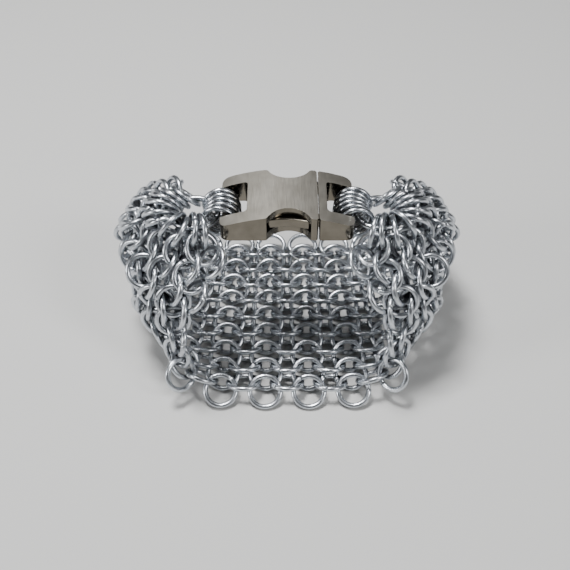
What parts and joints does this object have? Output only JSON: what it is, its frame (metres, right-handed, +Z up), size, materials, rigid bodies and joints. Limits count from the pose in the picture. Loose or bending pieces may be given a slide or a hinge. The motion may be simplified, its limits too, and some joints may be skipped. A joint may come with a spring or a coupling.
{
  "type": "chain mail wrist cuff",
  "caption": "Wide chain mail wrist cuff of interlinked round metal rings, gathered at both ends onto tie rings and closed by an arched metal side-release buckle.",
  "frame": {"origin": "middle of the footprint, on the surface that the cuff stands on", "axes": "+X round the wrist and along the buckle, towards its male half; +Y across the band, from its near edge to its far edge; +Z up, from the band's flat stretch to the buckle"},
  "size_m": [0.0884, 0.0623, 0.0451],
  "materials": {
    "mail_ring": "bright drawn wire, lightly handled",
    "link_ring": "bright drawn wire",
    "buckle_metal": "satin nickel plate with polished edges",
    "spring_steel": "drawn, plain"
  },
  "bodies": {
    "root": {"female_housing": "buckle_metal", "mail_column_02": "mail_ring", "mail_column_03": "mail_ring", "mail_column_04": "mail_ring", "mail_column_05": "mail_ring", "mail_column_06": "mail_ring", "mail_column_07": "mail_ring", "mail_column_08": "mail_ring", "mail_column_09": "mail_ring", "mail_column_10": "mail_ring", "left_tie_ring": "link_ring", "left_end_ring_01": "mail_ring", "left_end_ring_02": "mail_ring", "left_end_ring_03": "mail_ring", "left_end_ring_04": "mail_ring", "left_end_ring_05": "mail_ring", "left_end_ring_06": "mail_ring", "left_end_ring_07": "mail_ring", "left_end_ring_08": "mail_ring", "left_end_ring_09": "mail_ring", "left_end_ring_10": "mail_ring"},
    "left_links": {"left_link_1": "link_ring", "left_link_2": "link_ring", "left_link_3": "link_ring", "left_link_4": "link_ring", "left_link_5": "link_ring"},
    "male_half": {"male_frame": "buckle_metal", "near_arm_pin": "spring_steel", "far_arm_pin": "spring_steel", "arm_spring": "spring_steel"},
    "near_arm": {"near_arm": "buckle_metal"},
    "far_arm": {"far_arm": "buckle_metal"},
    "right_links": {"right_link_1": "link_ring", "right_link_2": "link_ring", "right_link_3": "link_ring", "right_link_4": "link_ring", "right_link_5": "link_ring", "right_link_6": "link_ring"},
    "right_corner": {"mail_column_11": "mail_ring"},
    "right_flank": {"mail_column_12": "mail_ring", "mail_column_13": "mail_ring", "mail_column_14": "mail_ring", "mail_column_15": "mail_ring"},
    "right_tie": {"right_tie_ring": "link_ring", "right_end_ring_01": "mail_ring", "right_end_ring_02": "mail_ring", "right_end_ring_03": "mail_ring", "right_end_ring_04": "mail_ring", "right_end_ring_05": "mail_ring", "right_end_ring_06": "mail_ring", "right_end_ring_07": "mail_ring", "right_end_ring_08": "mail_ring", "right_end_ring_09": "mail_ring", "right_end_ring_10": "mail_ring"}
  },
  "joints": [
    {"name": "buckle_slide", "type": "slide", "parent": "root", "child": "male_half", "axis": [1, 0, 0], "range_m": [0, 0.0146], "deforming": ["near_arm", "far_arm"]},
    {"name": "near_arm_squeeze", "type": "hinge", "parent": "male_half", "child": "near_arm", "pos_m": [0.009, -0.0074, 0.0416], "axis": [0, 0, -1], "range_deg": [0, 6.5], "stiffness_Nm_per_rad": 0.05, "deforming": ["arm_spring"]},
    {"name": "far_arm_squeeze", "type": "hinge", "parent": "male_half", "child": "far_arm", "pos_m": [0.009, 0.0054, 0.0416], "axis": [0, 0, -1], "range_deg": [-6.5, 0], "stiffness_Nm_per_rad": 0.05, "deforming": ["arm_spring"]},
    {"name": "left_link_swing", "type": "hinge", "parent": "root", "child": "left_links", "pos_m": [-0.01465, -0.001, 0.0392], "axis": [0, 1, 0], "range_deg": [-4, 4]},
    {"name": "right_link_swing", "type": "hinge", "parent": "male_half", "child": "right_links", "pos_m": [0.01465, -0.001, 0.0392], "axis": [0, 1, 0], "range_deg": [-4, 4]},
    {"name": "right_corner_fold", "type": "hinge", "parent": "root", "child": "right_corner", "pos_m": [0.026, 0, 0.003], "axis": [0, 1, 0], "range_deg": [0, 12]},
    {"name": "right_flank_fold", "type": "hinge", "parent": "right_corner", "child": "right_flank", "pos_m": [0.033, 0, 0.006], "axis": [0, 1, 0], "range_deg": [0, 12]},
    {"name": "right_tie_tilt", "type": "hinge", "parent": "right_flank", "child": "right_tie", "pos_m": [0.02255, -0.001, 0.0387], "axis": [0, 1, 0], "range_deg": [-18, 0]}
  ],
  "couplings": [
    {"joint": "far_arm_squeeze", "follows": "near_arm_squeeze", "ratio": -1},
    {"joint": "right_corner_fold", "follows": "buckle_slide", "rad_per_m": 14.345},
    {"joint": "right_flank_fold", "follows": "buckle_slide", "rad_per_m": 14.345},
    {"joint": "right_tie_tilt", "follows": "buckle_slide", "rad_per_m": -21.518}
  ]
}
